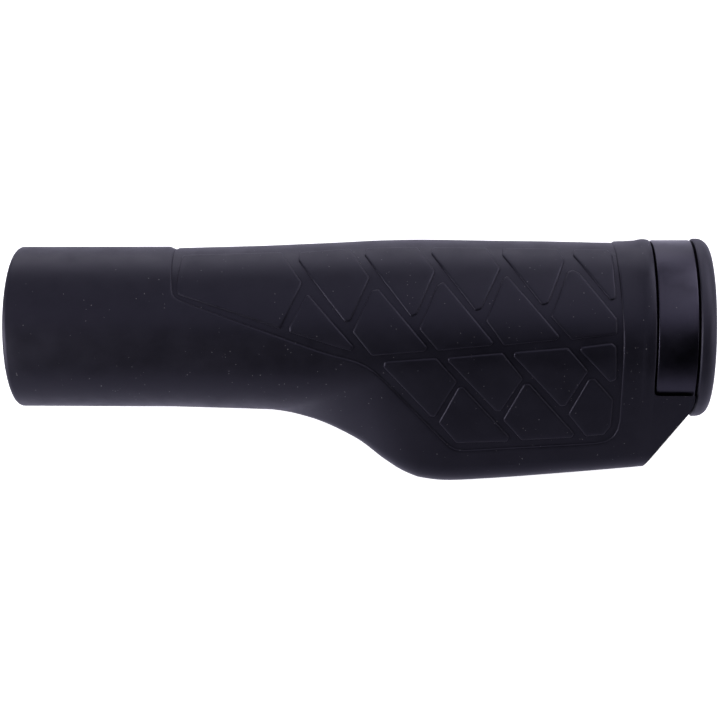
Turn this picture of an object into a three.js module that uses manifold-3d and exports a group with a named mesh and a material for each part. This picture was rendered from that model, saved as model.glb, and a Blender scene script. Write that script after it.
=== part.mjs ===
// Lock-on bicycle handlebar grip with a palm wing, in millimetres, +Z up.
// The bar axis is the X axis and the inner end face stands at X = 0.
// Sections are drawn with the wing level, towards -Y. The finished grip is then
// rolled about the bar axis until the barrel and the wing edge touch one flat surface.
// Plan coordinates are [along the bar, across it towards the wing].

import * as THREE from 'three';
import { mergeVertices } from 'three/addons/utils/BufferGeometryUtils.js';
import Module from 'manifold-3d';

const wasm = await Module();
wasm.setup();

// Bar and liner
const BAR_BORE_RADIUS = 11.2;
const CORE_WALL = 1.6;
const CORE_RADIUS = BAR_BORE_RADIUS + CORE_WALL;
const FIT_GAP = 0.3;
const CORE_START = 0.3;
const CORE_END = 131.5;
const CORE_SLOT_WIDTH = 1.6;
const CORE_SLOT_START = 121;
const CORE_SLOT_COUNT = 4;

// Rubber body: barrel radius and reach of the wing at places along the bar
const BARREL_RADIUS = [[0, 15.83], [28.5, 15.83], [40, 16.06], [48, 16.27], [56, 16.59],
  [64, 16.94], [72, 17.32], [79.5, 17.46], [87, 17.35], [95, 17.21], [103, 17.11], [111, 16.93],
  [116, 16.83], [118.6, 16.83], [121.4, 16.98], [135, 17]];
const WING_REACH = [[42.7, 16], [47.7, 16.15], [52.3, 16.6], [57.2, 17.7], [60.7, 18.9],
  [63.7, 20.25], [67.7, 22.4], [72.4, 25.95], [76.3, 28.35], [79.7, 29.6], [84.7, 30.1],
  [92.7, 29.7], [106.7, 28.6], [118, 27.6], [124, 27.05], [135.7, 26]];
const WING_START = 42.7;
const WING_EDGE_RADIUS = 4.8;
const UNDERSIDE_HOLLOW_RADIUS = 22;
const INNER_EDGE_ROUND = 1;
const RUBBER_END = 123.8;
const BEAD_CENTRE = 122.6;
const BEAD_HALF_WIDTH = 1.4;
const BEAD_HEIGHT = 0.25;

// Notch for the clamp ring, and the slanted end of the wing beyond it
const NOTCH_RADIUS = 17.4;
const NOTCH_CORNER_RADIUS = 1;
const NOTCH_LIP_ABOVE = 13.2;
const NOTCH_LIP_BELOW = 15.8;
const WING_END = 131.6;
const SLANT_TOP = [131.6, 15.5];
const SLANT_BOTTOM = [123.05, 26.9];
const SLANT_ROUND = 1.6;

// Grooved palm field: border outline, raised islands and groove depth
const GROOVE_DEPTH = 0.3;
const FIELD_WRAP = 4;
const FIELD_CORNER_RADIUS = 1.6;
const FIELD_FAR_SIDE = -20;
const FIELD = [[30.8, FIELD_FAR_SIDE], [32.5, -5.1], [61.5, 5.5, 3], [69.7, 7.5, 4], [86, 24.3, 2.2],
  [117.85, 22.4, 4.4], [117.9, 2, 3], [116.7, FIELD_FAR_SIDE]];
const ISLANDS = [
  [[33.8, -13.7], [52.8, -14.2], [57.1, -8.1], [53.3, 0.5], [33.9, -6], [33.5, -7.8]],
  [[58.5, -5.7], [67, 4.2], [66.6, 4.7], [55.3, 1.2], [55.3, 0.4]],
  [[56.6, -14.2], [66, -14.9], [69.9, -9.1], [66.5, -0.9], [65.7, -0.8], [56.5, -12.7]],
  [[70.7, -6.4], [71.8, -6.7], [80.8, 4.2], [80.5, 4.8], [70.7, 5.6], [67.3, 1.3]],
  [[69.5, -15], [78.8, -15.2], [82.3, -10.4], [78.9, -2.1], [78.1, -1.8], [69.1, -13.8]],
  [[83.1, -7.5], [84, -8.1], [93.2, 3.3], [92.8, 3.7], [83.1, 4.6], [79.8, 0.7]],
  [[82.2, -15.1], [92.1, -15], [94.6, -11], [91, -3.2], [90.2, -2.9], [81.9, -14]],
  [[95.4, -8.7], [96, -9.3], [105.5, 2.1], [105.1, 2.6], [95.5, 3.6], [92.3, -0.9]],
  [[95.6, -15], [105.6, -14.8], [106.8, -12.6], [103.5, -4.3], [102.6, -4], [95.4, -13.7]],
  [[107.6, -10.2], [108.4, -10.5], [109.5, -9.9], [116.2, -1.2], [116.2, 1.5], [108.1, 2.5],
    [104.4, -1.7]],
  [[109.1, -14.7], [115.2, -14.7], [115.9, -13.8], [116.1, -5.3], [115.4, -4.9], [108.8, -13.7]],
  [[73.2, 7.1], [82.6, 6.4], [86.4, 10.7], [82.3, 17.3], [81.7, 17.2], [73, 7.9]],
  [[87.1, 11.9], [87.8, 12], [96.5, 21.4], [96.2, 22.1], [86.7, 22.4], [83.4, 18.6]],
  [[85.2, 6.3], [95, 5.4], [98.8, 10.1], [94.9, 16.1], [94.1, 16.1], [85.1, 6.7]],
  [[99.5, 11.2], [100.3, 11.3], [108.9, 20.7], [108.6, 21.3], [99.2, 21.8], [95.7, 18]],
  [[97.6, 5.2], [107.2, 4.4], [111, 8.7], [107.1, 15.1], [106.3, 15.1], [97.4, 5.8]],
  [[111.6, 10.3], [112.5, 10.3], [116, 14.1], [115.9, 19.1], [114.7, 20.7], [111.5, 21],
    [108.1, 16.9]],
  [[110, 4.2], [115.4, 3.5], [116.1, 4.1], [116.4, 10.1], [115.4, 10.5], [109.8, 4.7]],
];

// Clamp ring, its lug and its bolt
const RING_START = RUBBER_END + FIT_GAP;
const RING_END = 131.65;
const RING_RADIUS = 17;
const RING_BORE_RADIUS = CORE_RADIUS + FIT_GAP;
const RING_BEVEL = 0.3;
const RING_SLOT_WIDTH = 1.6;
const LUG_ANGLE = THREE.MathUtils.degToRad(-60);
const LUG_ROOT = 14;
const LUG_REACH = 21.2;
const LUG_WIDTH = 10;
const LUG_CORNER_RADIUS = 2.2;
const BOLT_OFFSET = 17.4;
const BOLT_RADIUS = 1.5;
const BOLT_HEAD_RADIUS = 2.75;
const BOLT_HEAD_HEIGHT = 2.8;
const BOLT_HEAD_BEVEL = 0.3;
const BOLT_HEAD_SINK = 0.4;
const BOLT_LENGTH = 5.8;
const SOCKET_RADIUS = 1.45;
const SOCKET_DEPTH = 1.6;

// End cap
const CAP_START = 132;
const CAP_END = 135.1;
const CAP_RADIUS = 17.3;
const CAP_ROUND = 2.2;
const CAP_BACK_BEVEL = 0.25;
const CAP_THICKNESS = 2.1;
const SPIGOT_RADIUS = BAR_BORE_RADIUS - FIT_GAP;
const SPIGOT_WALL = 1.7;
const SPIGOT_START = 126.5;

// Fineness of the facets, and how far a cutting shape stands past what it cuts
const ROUND_SIDES = 64;
const BOLT_SIDES = 24;
const CUTTER_REACH = 20;
const FILLET_STEPS = 4;

// A smooth function through given points, which never swings past them.
function smoothThrough(points) {
  const rise = (i) => (points[i + 1][1] - points[i][1]) / (points[i + 1][0] - points[i][0]);
  const last = points.length - 1;
  const slopes = points.map((point, i) => {
    if (i === 0) return rise(0);
    if (i === last) return rise(last - 1);
    const before = rise(i - 1);
    const after = rise(i);
    return before * after > 0 ? (2 * before * after) / (before + after) : 0;
  });
  return (x) => {
    const i = Math.max(0, Math.min(last - 1, points.findIndex((point) => point[0] > x) - 1));
    const span = points[i + 1][0] - points[i][0];
    const t = THREE.MathUtils.clamp((x - points[i][0]) / span, 0, 1);
    const a = 2 * t ** 3 - 3 * t ** 2 + 1;
    const b = t ** 3 - 2 * t ** 2 + t;
    const c = t ** 3 - t ** 2;
    return a * points[i][1] + b * span * slopes[i] + (1 - a) * points[i + 1][1] + c * span * slopes[i + 1];
  };
}

const barrelAlong = smoothThrough(BARREL_RADIUS);
const reachAlong = smoothThrough(WING_REACH);

function beadHeight(x) {
  const t = Math.abs(x - BEAD_CENTRE) / BEAD_HALF_WIDTH;
  return t < 1 ? BEAD_HEIGHT * Math.cos((t * Math.PI) / 2) : 0;
}

// Radius of the rubber section at x, at an angle from the wing (0) over the palm side (90 degrees).
// The section is the barrel circle and the wing's edge circle, with a flat slope over them
// and one hollow arc under them. inset draws the same section smaller all round.
function sectionRadius(x, angle, inset) {
  const barrel = barrelAlong(x) + beadHeight(x) - inset;
  const edge = WING_EDGE_RADIUS - inset;
  const reach = x > WING_START ? reachAlong(x) - inset : 0;
  const centre = reach - edge;
  if (centre <= barrel - edge) return barrel;

  const edgeRoot = edge ** 2 - (centre * Math.sin(angle)) ** 2;
  const edgeHit = edgeRoot > 0 ? centre * Math.cos(angle) + Math.sqrt(edgeRoot) : 0;
  if (angle >= 0) {
    const slopeSine = (barrel - edge) / centre;
    const normal = Math.PI / 2 - Math.asin(slopeSine);
    const touch = Math.atan2(edge * Math.sin(normal), centre + edge * Math.cos(normal));
    if (angle >= normal) return barrel;
    return angle >= touch ? barrel / Math.cos(normal - angle) : edgeHit;
  }
  const hollow = UNDERSIDE_HOLLOW_RADIUS + inset;
  const toBarrel = barrel + hollow;
  const toEdge = edge + hollow;
  const cosine = (centre ** 2 + toBarrel ** 2 - toEdge ** 2) / (2 * centre * toBarrel);
  const swing = Math.acos(THREE.MathUtils.clamp(cosine, -1, 1));
  if (-angle >= swing) return barrel;
  const arcY = toBarrel * Math.cos(swing);
  const arcZ = -toBarrel * Math.sin(swing);
  const meet = hollow / toEdge;
  const touch = Math.atan2(arcZ * (1 - meet), arcY + (centre - arcY) * meet);
  if (angle > touch) return edgeHit;
  const off = Math.abs(angle) - swing;
  const root = hollow ** 2 - (toBarrel * Math.sin(off)) ** 2;
  return toBarrel * Math.cos(off) - Math.sqrt(Math.max(0, root));
}

// Angles round the section, close together at the wing's edge and wide apart on the barrel.
function sectionAngles() {
  const degrees = [0, 3, 6, 8.5, 11, 15, 21, 29, 38, 47, 56, 65, 74, 83, 92, 101, 110, 120, 130,
    140, 150, 160, 170, 180];
  const upper = degrees.map((value) => THREE.MathUtils.degToRad(value));
  const lower = upper.slice(1, -1).map((value) => -value).reverse();
  return upper.concat(lower);
}

// Places along the bar where a section is drawn, each with the inset of its rounded end.
function sectionStations() {
  const ends = [[0, INNER_EDGE_ROUND], [0.3, 0.3], [INNER_EDGE_ROUND, 0], [14, 0], [28, 0]];
  const beadSteps = [-1, -0.5, 0, 0.5, 1].map((t) => [BEAD_CENTRE + t * BEAD_HALF_WIDTH, 0]);
  const middle = [];
  for (let x = 33; x < 119; x += 3.9) middle.push([x, 0]);
  return [...ends, ...middle, ...beadSteps, [RUBBER_END + 3, 0], [WING_END, 0]];
}

function closedGeometry(positions, index) {
  const geometry = new THREE.BufferGeometry();
  geometry.setAttribute('position', new THREE.Float32BufferAttribute(positions, 3));
  geometry.setIndex(index);
  return geometry;
}

// The whole rubber shape as one closed skin through its sections, with flat ends.
function skinGeometry(inset) {
  const angles = sectionAngles();
  const stations = sectionStations();
  const positions = [];
  for (const [x, round] of stations) {
    for (const angle of angles) {
      const radius = sectionRadius(x, angle, inset) - round;
      positions.push(x, -radius * Math.cos(angle), radius * Math.sin(angle));
    }
  }
  const count = angles.length;
  const index = [];
  for (let ring = 0; ring < stations.length - 1; ring++) {
    for (let i = 0; i < count; i++) {
      const a = ring * count + i;
      const b = ring * count + ((i + 1) % count);
      index.push(a, a + count, b, b, a + count, b + count);
    }
  }
  const firstCentre = positions.length / 3;
  positions.push(stations[0][0], 0, 0, stations[stations.length - 1][0], 0, 0);
  const lastRing = (stations.length - 1) * count;
  for (let i = 0; i < count; i++) {
    const next = (i + 1) % count;
    index.push(firstCentre, i, next);
    index.push(firstCentre + 1, lastRing + next, lastRing + i);
  }
  return closedGeometry(positions, index);
}

// Turns a closed geometry into a solid that can be joined and cut.
function solid(geometry) {
  const bare = geometry.clone();
  bare.deleteAttribute('normal');
  bare.deleteAttribute('uv');
  const merged = mergeVertices(bare, 1e-5);
  const mesh = new wasm.Mesh({
    numProp: 3,
    vertProperties: new Float32Array(merged.attributes.position.array),
    triVerts: new Uint32Array(merged.index.array),
  });
  return new wasm.Manifold(mesh);
}

function geometryOf(manifold) {
  const mesh = manifold.getMesh();
  const flat = closedGeometry(mesh.vertProperties, Array.from(mesh.triVerts)).toNonIndexed();
  flat.computeVertexNormals();
  return flat;
}

// An outline with every corner rounded by its own third value, or else by the radius, and at most
// by half of its sides.
function roundedOutline(corners, radius) {
  const shape = new THREE.Shape();
  corners.forEach(([x, w, round = radius], i) => {
    const here = new THREE.Vector2(x, w);
    const before = new THREE.Vector2(...corners[(i + corners.length - 1) % corners.length]);
    const after = new THREE.Vector2(...corners[(i + 1) % corners.length]);
    const back = Math.min(round, here.distanceTo(before) / 2);
    const forward = Math.min(round, here.distanceTo(after) / 2);
    const enter = here.clone().lerp(before, back / here.distanceTo(before));
    const leave = here.clone().lerp(after, forward / here.distanceTo(after));
    if (i === 0) shape.moveTo(enter.x, enter.y);
    else shape.lineTo(enter.x, enter.y);
    if (round > 0) shape.quadraticCurveTo(here.x, here.y, leave.x, leave.y);
  });
  shape.closePath();
  return shape;
}

// A plan outline pulled up into an upright prism between two heights.
function planPrism(shape, low, high) {
  const geometry = new THREE.ExtrudeGeometry(shape, {
    depth: high - low, bevelEnabled: false, curveSegments: FILLET_STEPS,
  });
  geometry.translate(0, 0, -high);
  geometry.rotateX(Math.PI);
  return solid(geometry);
}

// A round solid about the bar axis from [radius, x] points.
function turned(points) {
  const geometry = new THREE.LatheGeometry(points.map(([r, x]) => new THREE.Vector2(r, x)), ROUND_SIDES);
  geometry.rotateZ(-Math.PI / 2);
  return solid(geometry);
}

function tube(inner, outer, start, end) {
  return turned([[inner, start], [outer, start], [outer, end], [inner, end], [inner, start]]);
}

function arcPoints(centreR, centreX, radius, from, to) {
  const points = [];
  for (let i = 0; i <= FILLET_STEPS; i++) {
    const angle = THREE.MathUtils.degToRad(from + ((to - from) * i) / FILLET_STEPS);
    points.push([centreR + radius * Math.cos(angle), centreX + radius * Math.sin(angle)]);
  }
  return points;
}

// Grooves between the islands of the palm field, as a thin layer to be taken off the skin.
function grooves() {
  let floor = planPrism(roundedOutline(FIELD, FIELD_CORNER_RADIUS), -FIELD_WRAP, CUTTER_REACH);
  for (const corners of ISLANDS) {
    const island = planPrism(roundedOutline(corners, 0), -FIELD_WRAP - 1, CUTTER_REACH + 1);
    floor = floor.subtract(island);
  }
  return floor.subtract(solid(skinGeometry(GROOVE_DEPTH)));
}

// Room for the clamp ring: a round seat about the bar, with an upright lip over and under the wing.
function notch() {
  const beyond = WING_END + CUTTER_REACH;
  const upTo = (lip) => roundedOutline([[RUBBER_END, -CUTTER_REACH], [RUBBER_END, lip],
    [beyond, lip], [beyond, -CUTTER_REACH]], NOTCH_CORNER_RADIUS);
  return turned([[0, RUBBER_END], [NOTCH_RADIUS, RUBBER_END], [NOTCH_RADIUS, beyond], [0, beyond]])
    .add(planPrism(upTo(NOTCH_LIP_ABOVE), 0, CUTTER_REACH))
    .add(planPrism(upTo(NOTCH_LIP_BELOW), -CUTTER_REACH, 0));
}

// Everything past the slanted end of the wing.
function slantCutter() {
  const [topX, topW] = SLANT_TOP;
  const [bottomX, bottomW] = SLANT_BOTTOM;
  const lean = (topX - bottomX) / (bottomW - topW);
  const shape = new THREE.Shape();
  shape.moveTo(bottomX - CUTTER_REACH * lean, bottomW + CUTTER_REACH);
  shape.lineTo(topX - SLANT_ROUND * lean, topW + SLANT_ROUND);
  shape.quadraticCurveTo(topX, topW, topX, topW - SLANT_ROUND);
  shape.lineTo(topX, -CUTTER_REACH);
  shape.lineTo(topX + CUTTER_REACH, -CUTTER_REACH);
  shape.lineTo(topX + CUTTER_REACH, bottomW + CUTTER_REACH);
  shape.closePath();
  return planPrism(shape, -CUTTER_REACH, CUTTER_REACH);
}

function rubberGrip() {
  const bore = turned([[0, -1], [CORE_RADIUS + FIT_GAP, -1], [CORE_RADIUS + FIT_GAP, RUBBER_END + 1],
    [0, RUBBER_END + 1]]);
  const body = solid(skinGeometry(0)).subtract(grooves()).subtract(notch());
  return geometryOf(body.subtract(slantCutter()).subtract(bore));
}

function coreSleeve() {
  let core = tube(BAR_BORE_RADIUS, CORE_RADIUS, CORE_START, CORE_END);
  for (let i = 0; i < CORE_SLOT_COUNT; i++) {
    const slot = new THREE.BoxGeometry(CORE_END - CORE_SLOT_START + 1, CORE_SLOT_WIDTH, 4 * CORE_WALL);
    slot.translate((CORE_SLOT_START + CORE_END + 1) / 2, 0, CORE_RADIUS);
    slot.rotateX(((i + 0.5) * 2 * Math.PI) / CORE_SLOT_COUNT);
    core = core.subtract(solid(slot));
  }
  return geometryOf(core);
}

// Lug geometry is drawn pointing up at +Z, then turned to its place under the bar.
function turnToLug(geometry) {
  return geometry.rotateX(LUG_ANGLE - Math.PI / 2);
}

function boltCylinder(radius, start, end) {
  const geometry = new THREE.CylinderGeometry(radius, radius, end - start, BOLT_SIDES);
  geometry.translate(0, (start + end) / 2, 0);
  geometry.translate((RING_START + RING_END) / 2, 0, BOLT_OFFSET);
  return solid(turnToLug(geometry));
}

function clampRing() {
  const bevelled = [
    [RING_BORE_RADIUS, RING_START], [RING_RADIUS - RING_BEVEL, RING_START],
    [RING_RADIUS, RING_START + RING_BEVEL], [RING_RADIUS, RING_END - RING_BEVEL],
    [RING_RADIUS - RING_BEVEL, RING_END], [RING_BORE_RADIUS, RING_END], [RING_BORE_RADIUS, RING_START],
  ];
  const half = LUG_WIDTH / 2;
  const outline = roundedOutline([[-half, LUG_ROOT], [half, LUG_ROOT], [half, LUG_REACH], [-half, LUG_REACH]],
    LUG_CORNER_RADIUS);
  const lug = new THREE.ExtrudeGeometry(outline, {
    depth: RING_END - RING_START, bevelEnabled: false, curveSegments: FILLET_STEPS,
  });
  lug.rotateX(Math.PI / 2);
  lug.rotateZ(Math.PI / 2);
  lug.translate(RING_START, 0, 0);
  const slot = new THREE.BoxGeometry(CUTTER_REACH, RING_SLOT_WIDTH, LUG_REACH);
  slot.translate(RING_END, 0, LUG_REACH / 2 + RING_BORE_RADIUS - 2);
  const headSeat = half - BOLT_HEAD_HEIGHT - BOLT_HEAD_SINK;
  return geometryOf(turned(bevelled)
    .add(solid(turnToLug(lug)))
    .subtract(solid(turnToLug(slot)))
    .subtract(boltCylinder(BOLT_RADIUS + FIT_GAP, -LUG_WIDTH, LUG_WIDTH))
    .subtract(boltCylinder(BOLT_HEAD_RADIUS + FIT_GAP, headSeat, LUG_WIDTH)));
}

function clampBolt() {
  const under = LUG_WIDTH / 2 - BOLT_HEAD_HEIGHT - BOLT_HEAD_SINK + FIT_GAP;
  const top = under + BOLT_HEAD_HEIGHT;
  const profile = [[0, under - BOLT_LENGTH], [BOLT_RADIUS, under - BOLT_LENGTH], [BOLT_RADIUS, under],
    [BOLT_HEAD_RADIUS, under], [BOLT_HEAD_RADIUS, top - BOLT_HEAD_BEVEL],
    [BOLT_HEAD_RADIUS - BOLT_HEAD_BEVEL, top], [0, top]];
  const body = new THREE.LatheGeometry(profile.map(([r, y]) => new THREE.Vector2(r, y)), BOLT_SIDES);
  const socket = new THREE.CylinderGeometry(SOCKET_RADIUS, SOCKET_RADIUS, SOCKET_DEPTH * 2, 6);
  socket.translate(0, top, 0);
  const geometry = geometryOf(solid(body).subtract(solid(socket)));
  geometry.translate((RING_START + RING_END) / 2, 0, BOLT_OFFSET);
  return turnToLug(geometry);
}

function endCap() {
  const inner = SPIGOT_RADIUS - SPIGOT_WALL;
  return geometryOf(turned([
    [0, CAP_END - CAP_THICKNESS], [inner, CAP_END - CAP_THICKNESS], [inner, SPIGOT_START],
    [SPIGOT_RADIUS - CAP_BACK_BEVEL, SPIGOT_START], [SPIGOT_RADIUS, SPIGOT_START + CAP_BACK_BEVEL],
    [SPIGOT_RADIUS, CAP_START], [CAP_RADIUS - CAP_BACK_BEVEL, CAP_START],
    [CAP_RADIUS, CAP_START + CAP_BACK_BEVEL],
    ...arcPoints(CAP_RADIUS - CAP_ROUND, CAP_END - CAP_ROUND, CAP_ROUND, 0, 90),
    [0, CAP_END],
  ]));
}

const finishes = {
  rubber: new THREE.MeshStandardMaterial({ color: 0x17171b, roughness: 0.62, metalness: 0 }),
  liner: new THREE.MeshStandardMaterial({ color: 0x1c1c1e, roughness: 0.7, metalness: 0 }),
  anodised: new THREE.MeshStandardMaterial({ color: 0x24242a, roughness: 0.42, metalness: 0.9 }),
  cap: new THREE.MeshStandardMaterial({ color: 0x1b1b20, roughness: 0.55, metalness: 0 }),
  steel: new THREE.MeshStandardMaterial({ color: 0x3a3a3e, roughness: 0.35, metalness: 1 }),
};

const grip = new THREE.Group();

function addPiece(name, geometry, material) {
  const mesh = new THREE.Mesh(geometry, material);
  mesh.name = name;
  grip.add(mesh);
}

addPiece('rubber_grip', rubberGrip(), finishes.rubber);
addPiece('core_sleeve', coreSleeve(), finishes.liner);
addPiece('clamp_ring', clampRing(), finishes.anodised);
addPiece('clamp_bolt', clampBolt(), finishes.steel);
addPiece('end_cap', endCap(), finishes.cap);

// Rolled so that the fullest part of the barrel and the wing's edge touch the same level surface.
const WIDEST_AT = 84.7;
const widestCentre = reachAlong(WIDEST_AT) - WING_EDGE_RADIUS;
grip.rotation.x = Math.asin((barrelAlong(WIDEST_AT) - WING_EDGE_RADIUS) / widestCentre);

export default grip;
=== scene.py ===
"""Looks of a lock-on handlebar grip with a palm wing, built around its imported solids.

Shapes are worked out in millimetres in the grip's level frame: x along the bar from the inner end,
w across the bar towards the wing, z up out of the palm side. The grip then lies rolled about the bar
axis, so that its barrel and the edge of its wing touch one flat surface.
"""
import logging
import math
from dataclasses import dataclass
from enum import Enum
from typing import Callable, Sequence

import bmesh
import bpy
import numpy as np
from bpy.types import ID, Material, Node, NodeSocket, NodeTree, Object
from mathutils import Matrix, Vector
from mathutils.geometry import delaunay_2d_cdt


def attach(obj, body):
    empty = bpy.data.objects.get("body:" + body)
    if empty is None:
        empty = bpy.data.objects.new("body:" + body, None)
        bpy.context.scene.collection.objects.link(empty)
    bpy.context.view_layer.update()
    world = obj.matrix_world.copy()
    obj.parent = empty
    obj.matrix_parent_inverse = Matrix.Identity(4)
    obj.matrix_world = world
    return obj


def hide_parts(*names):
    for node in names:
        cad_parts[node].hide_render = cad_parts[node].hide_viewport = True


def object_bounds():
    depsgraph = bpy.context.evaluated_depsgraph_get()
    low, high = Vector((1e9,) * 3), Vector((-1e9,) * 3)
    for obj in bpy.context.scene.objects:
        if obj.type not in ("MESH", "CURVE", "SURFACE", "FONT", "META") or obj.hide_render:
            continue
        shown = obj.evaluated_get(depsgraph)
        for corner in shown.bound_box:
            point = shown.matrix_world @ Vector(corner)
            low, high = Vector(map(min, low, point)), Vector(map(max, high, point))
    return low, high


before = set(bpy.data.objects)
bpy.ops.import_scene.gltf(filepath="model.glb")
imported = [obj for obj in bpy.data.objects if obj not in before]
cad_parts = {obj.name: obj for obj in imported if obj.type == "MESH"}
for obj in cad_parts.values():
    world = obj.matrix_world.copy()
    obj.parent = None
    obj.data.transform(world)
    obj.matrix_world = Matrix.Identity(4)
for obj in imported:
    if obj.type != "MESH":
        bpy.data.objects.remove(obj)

LOG = logging.getLogger("grip")
MM = 0.001
TURN = 2 * math.pi
Points = Sequence[Sequence[float]]
WHOLE_SIDE = 100.0
SHARP_OVER = 30.0
CAD_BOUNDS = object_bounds()


class Body(Enum):
    """The bodies that pieces ride on."""

    ROOT = "root"


class Slot(Enum):
    """Material slots of the record."""

    RUBBER = "rubber"
    LINER = "liner_plastic"
    ANODISED = "anodised_aluminium"
    BOLT = "bolt_steel"
    CAP = "cap_plastic"


class SmoothLine:
    """A smooth curve through given points, which never swings past them."""

    def __init__(self, points: Points) -> None:
        """Works out the slope at each point.

        Args:
            points: pairs of place and value, in rising order of place.
        """
        self.x, self.y = np.array(points, float).T
        rise = np.diff(self.y) / np.diff(self.x)
        product = rise[:-1] * rise[1:]
        total = np.where(rise[:-1] + rise[1:] == 0, 1.0, rise[:-1] + rise[1:])
        inner = np.where(product > 0, 2 * product / total, 0.0)
        self.slope = np.concatenate(([rise[0]], inner, [rise[-1]]))

    def __call__(self, x: np.ndarray) -> np.ndarray:
        """Reads the curve.

        Args:
            x: places along the curve.

        Returns:
            The values there.
        """
        x = np.asarray(x, float)
        i = np.clip(np.searchsorted(self.x, x, side="right") - 1, 0, len(self.x) - 2)
        span = self.x[i + 1] - self.x[i]
        t = np.clip((x - self.x[i]) / span, 0, 1)
        a = 2 * t**3 - 3 * t**2 + 1
        b = t**3 - 2 * t**2 + t
        c = t**3 - t**2
        ends = a * self.y[i] + (1 - a) * self.y[i + 1]
        return ends + span * (b * self.slope[i] + c * self.slope[i + 1])


def smooth_step(t: np.ndarray) -> np.ndarray:
    """Rises from 0 to 1 as t does, level at both ends."""
    t = np.clip(t, 0, 1)
    return t * t * (3 - 2 * t)


@dataclass
class RubberShape:
    """Outer skin of the rubber as a radius for each place along the bar and angle round it.

    Angles run from the wing (0) over the palm side (a quarter turn) to the far side (a half turn).
    """

    barrel_points: Points = (
        (0, 15.83), (28.5, 15.83), (40, 16.06), (48, 16.27), (56, 16.59), (64, 16.94), (72, 17.32),
        (79.5, 17.46), (87, 17.35), (95, 17.21), (103, 17.11), (111, 16.93), (116, 16.83),
        (118.6, 16.83), (121.4, 16.98), (135, 17),
    )
    reach_points: Points = (
        (42.7, 16), (47.7, 16.15), (52.3, 16.6), (57.2, 17.7), (60.7, 18.9), (63.7, 20.25),
        (67.7, 22.4), (72.4, 25.95), (76.3, 28.35), (79.7, 29.6), (84.7, 30.1), (92.7, 29.7),
        (106.7, 28.6), (118, 27.6), (124, 27.05), (135.7, 26),
    )
    wing_start: float = 42.7
    edge_radius: float = 4.8
    hollow_radius: float = 22
    end: float = 123.8
    wing_end: float = 131.6
    bead_centre: float = 122.6
    bead_half_width: float = 1.4
    bead_height: float = 0.25
    widest_at: float = 84.7
    end_round: float = 0.25
    lip_above: float = 13.2
    lip_clear: float = 3.0
    lip_blend: float = 2.5
    face_slack: float = 0.02
    halvings: int = 40

    def __post_init__(self) -> None:
        """Makes the two curves along the bar and the roll that the grip lies at."""
        self.barrel = SmoothLine(self.barrel_points)
        self.reach = SmoothLine(self.reach_points)
        rise = float(self.barrel(self.widest_at)) - self.edge_radius
        self.roll = math.asin(rise / (float(self.reach(self.widest_at)) - self.edge_radius))

    def bead(self, x: np.ndarray) -> np.ndarray:
        """Height of the bead that ends the barrel, at x."""
        t = np.abs(x - self.bead_centre) / self.bead_half_width
        return np.where(t < 1, self.bead_height * np.cos(np.minimum(t, 1) * math.pi / 2), 0.0)

    def radius(self, x: np.ndarray, angle: np.ndarray) -> np.ndarray:
        """Distance of the skin from the bar axis.

        Args:
            x: places along the bar.
            angle: angles from the wing, in radians.

        Returns:
            The radii in millimetres.
        """
        x, angle = np.broadcast_arrays(np.asarray(x, float), np.asarray(angle, float))
        angle = (angle + math.pi) % TURN - math.pi
        barrel = self.barrel(x) + self.bead(x)
        edge = self.edge_radius
        centre = np.where(x > self.wing_start, self.reach(x), 0) - edge
        winged = centre > barrel - edge + 1e-6
        centre = np.where(winged, centre, barrel)

        edge_root = np.maximum(0, edge**2 - (centre * np.sin(angle)) ** 2)
        edge_hit = centre * np.cos(angle) + np.sqrt(edge_root)
        normal = math.pi / 2 - np.arcsin(np.clip((barrel - edge) / centre, -1, 1))
        touch = np.arctan2(edge * np.sin(normal), centre + edge * np.cos(normal))
        slope = barrel / np.maximum(np.cos(normal - angle), 1e-3)
        above = np.where(angle >= normal, barrel, np.where(angle >= touch, slope, edge_hit))

        to_barrel = barrel + self.hollow_radius
        to_edge = edge + self.hollow_radius
        cosine = (centre**2 + to_barrel**2 - to_edge**2) / (2 * centre * to_barrel)
        swing = np.arccos(np.clip(cosine, -1, 1))
        arc_w = to_barrel * np.cos(swing)
        arc_z = -to_barrel * np.sin(swing)
        meet = self.hollow_radius / to_edge
        touch = np.arctan2(arc_z * (1 - meet), arc_w + (centre - arc_w) * meet)
        off = np.abs(angle) - swing
        root = np.maximum(0, self.hollow_radius**2 - (to_barrel * np.sin(off)) ** 2)
        hollow = to_barrel * np.cos(off) - np.sqrt(root)
        below = np.where(-angle >= swing, barrel, np.where(angle > touch, edge_hit, hollow))
        radius = np.where(winged, np.where(angle >= 0, above, below), barrel)
        return radius - self.end_drop(x, radius * np.cos(angle))

    def end_drop(self, x: np.ndarray, w: np.ndarray) -> np.ndarray:
        """How far the rounded edge at the outer end lies under the skin, off the wing.

        Args:
            x: places along the bar.
            w: places across it, towards the wing.

        Returns:
            The drops in millimetres.
        """
        t = np.clip((x - (self.end - self.end_round)) / self.end_round, 0, 1)
        drop = self.end_round * (1 - np.sqrt(np.maximum(0, 1 - t * t)))
        off_wing = 1 - smooth_step((w - self.lip_above + self.lip_clear) / self.lip_blend)
        return np.where(x > self.end + self.face_slack, 0, drop * off_wing)

    def skin(self, x: np.ndarray, angle: np.ndarray) -> np.ndarray:
        """Points of the skin as rows of x, w and z.

        Args:
            x: places along the bar.
            angle: angles from the wing, in radians.

        Returns:
            One row for each place.
        """
        radius = self.radius(x, angle)
        x = np.broadcast_to(x, radius.shape)
        return np.stack([x, radius * np.cos(angle), radius * np.sin(angle)], axis=-1)

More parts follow.
